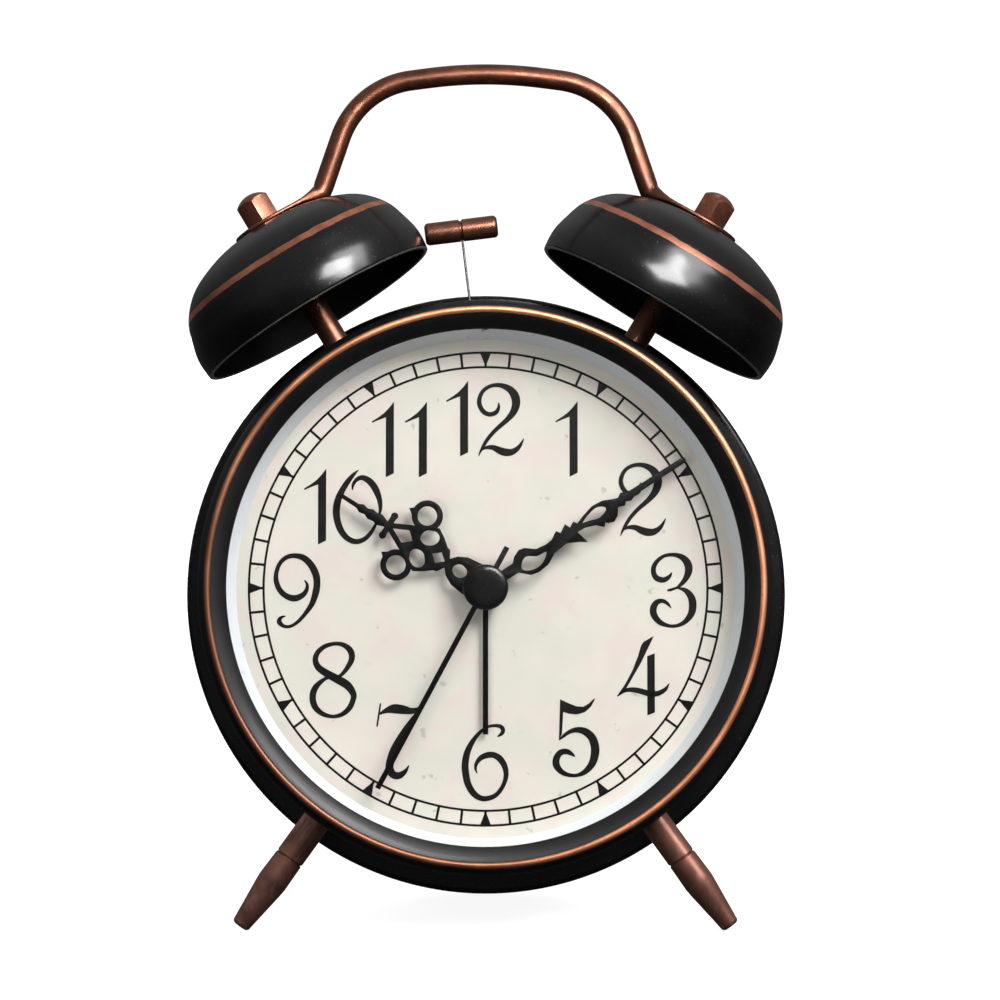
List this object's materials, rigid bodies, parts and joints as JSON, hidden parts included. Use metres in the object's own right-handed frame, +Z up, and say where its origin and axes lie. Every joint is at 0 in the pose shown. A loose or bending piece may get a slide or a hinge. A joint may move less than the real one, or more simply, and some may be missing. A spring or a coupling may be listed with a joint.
{
  "type": "twin-bell alarm clock",
  "caption": "Twin-bell analogue alarm clock with carrying handle, swinging hammer, screwed-in legs, battery movement and rear setting knobs.",
  "frame": {"origin": "bottom centre of the bounding box, on the surface the clock stands on", "axes": "+Z up, +X right as one faces the dial, +Y towards the back; the face leans back 13.3 degrees"},
  "size_m": [0.1268, 0.0716, 0.173],
  "materials": {
    "black_paint": "satin black enamel on steel",
    "antique_copper": "antique copper plate, lacquered and worn",
    "clear_glass": "clear flat glass",
    "silver_flange": "silver-white satin",
    "cream_dial": "printed card, mottled cream",
    "plain_steel": "plain bright steel",
    "black_plastic": "moulded, fine texture",
    "movement_plastic": "moulded",
    "white_plastic": "moulded nylon",
    "gear_brass": "stamped brass",
    "hand_black": "black painted stamped sheet",
    "magnet": "sintered magnet on steel arbor",
    "coil_copper": "enamelled copper wire",
    "board_green": "solder-masked laminate",
    "lamp_clear": "clear lamp",
    "cell_wrap": "plain wrapped cell"
  },
  "bodies": {
    "case": {"case_drum": "black_paint", "bezel": "black_paint", "bezel_bead": "antique_copper", "lens": "clear_glass", "dial_flange": "silver_flange", "dial": "cream_dial", "dial_plate": "plain_steel", "dial_lamp": "lamp_clear", "rear_ring": "black_paint", "rear_cover": "black_plastic", "battery_cell_upper": "cell_wrap", "battery_cell_lower": "cell_wrap", "battery_contact_left": "plain_steel", "battery_contact_right": "plain_steel", "circuit_board": "board_green", "cover_screw_left": "plain_steel", "cover_screw_right": "plain_steel", "leg_left": "antique_copper", "leg_right": "antique_copper", "leg_nut_left": "plain_steel", "leg_nut_right": "plain_steel", "bell_left": "black_paint", "bell_right": "black_paint", "bell_post_left": "antique_copper", "bell_post_right": "antique_copper", "bell_stud_left": "plain_steel", "bell_stud_right": "plain_steel", "stud_nut_left": "plain_steel", "stud_nut_right": "plain_steel", "cap_nut_left": "antique_copper", "cap_nut_right": "antique_copper", "handle": "antique_copper", "hammer_bracket": "plain_steel", "striker_core": "plain_steel", "striker_coil": "coil_copper", "movement_front": "movement_plastic", "movement_back": "movement_plastic", "stator": "plain_steel", "drive_coil": "coil_copper"},
    "seconds": {"second_wheel": "gear_brass", "second_hand": "hand_black", "centre_cap": "hand_black"},
    "third": {"third_wheel": "gear_brass"},
    "rotor": {"rotor": "magnet"},
    "minutes": {"minute_arbor": "gear_brass", "minute_hand": "hand_black"},
    "hours": {"hour_wheel": "white_plastic", "hour_hand": "hand_black"},
    "time_setting": {"motion_wheel": "white_plastic", "time_set_knob": "black_plastic"},
    "alarm_setting": {"alarm_arbor": "gear_brass", "alarm_set_knob": "black_plastic"},
    "alarm_pointer": {"alarm_wheel": "white_plastic", "alarm_hand": "hand_black"},
    "hammer": {"hammer_arm": "plain_steel", "hammer_wire": "plain_steel", "hammer_head": "antique_copper"},
    "alarm_slider": {"alarm_switch": "black_plastic"},
    "button": {"light_button": "black_plastic"},
    "door": {"battery_door": "black_plastic"}
  },
  "joints": [
    {"name": "second_turn", "type": "hinge", "parent": "case", "child": "seconds", "pos_m": [0, -0.00339, 0.06591], "axis": [0, 0.9732, -0.23], "continuous": true},
    {"name": "third_turn", "type": "hinge", "parent": "case", "child": "third", "pos_m": [0, -0.00494, 0.05934], "axis": [0, 0.9732, -0.23], "continuous": true},
    {"name": "rotor_turn", "type": "hinge", "parent": "case", "child": "rotor", "pos_m": [0, -0.00635, 0.05338], "axis": [0, 0.9732, -0.23], "continuous": true},
    {"name": "minute_turn", "type": "hinge", "parent": "case", "child": "minutes", "pos_m": [0, -0.01118, 0.06775], "axis": [0, 0.9732, -0.23], "continuous": true},
    {"name": "hour_turn", "type": "hinge", "parent": "case", "child": "hours", "pos_m": [0, -0.01118, 0.06775], "axis": [0, 0.9732, -0.23], "continuous": true},
    {"name": "time_set_turn", "type": "hinge", "parent": "case", "child": "time_setting", "pos_m": [-0.007, 0.00634, 0.06361], "axis": [0, 0.9732, -0.23], "continuous": true},
    {"name": "alarm_set_turn", "type": "hinge", "parent": "case", "child": "alarm_setting", "pos_m": [0.00788, 0.00634, 0.06361], "axis": [0, 0.9732, -0.23], "continuous": true},
    {"name": "alarm_hand_turn", "type": "hinge", "parent": "case", "child": "alarm_pointer", "pos_m": [0, -0.01118, 0.06775], "axis": [0, 0.9732, -0.23], "continuous": true},
    {"name": "hammer_swing", "type": "hinge", "parent": "case", "child": "hammer", "pos_m": [0, 0.00323, 0.09825], "axis": [0, 0.9732, -0.23], "range_deg": [0, 13.96]},
    {"name": "alarm_switch_slide", "type": "slide", "parent": "case", "child": "alarm_slider", "axis": [1, 0, 0], "range_m": [0, 0.004]},
    {"name": "light_button_press", "type": "slide", "parent": "case", "child": "button", "axis": [0, -0.9732, 0.23], "range_m": [0, 0.0018], "stiffness_N_per_m": 300},
    {"name": "battery_door_off", "type": "slide", "parent": "case", "child": "door", "axis": [0, 0.9732, -0.23], "range_m": [0, 0.015]}
  ],
  "couplings": [
    {"joint": "third_turn", "follows": "second_turn", "ratio": -5},
    {"joint": "rotor_turn", "follows": "second_turn", "ratio": 30},
    {"joint": "hour_turn", "follows": "minute_turn", "ratio": 0.083333},
    {"joint": "time_set_turn", "follows": "minute_turn", "ratio": -0.33333},
    {"joint": "alarm_hand_turn", "follows": "alarm_set_turn", "ratio": -0.25}
  ]
}
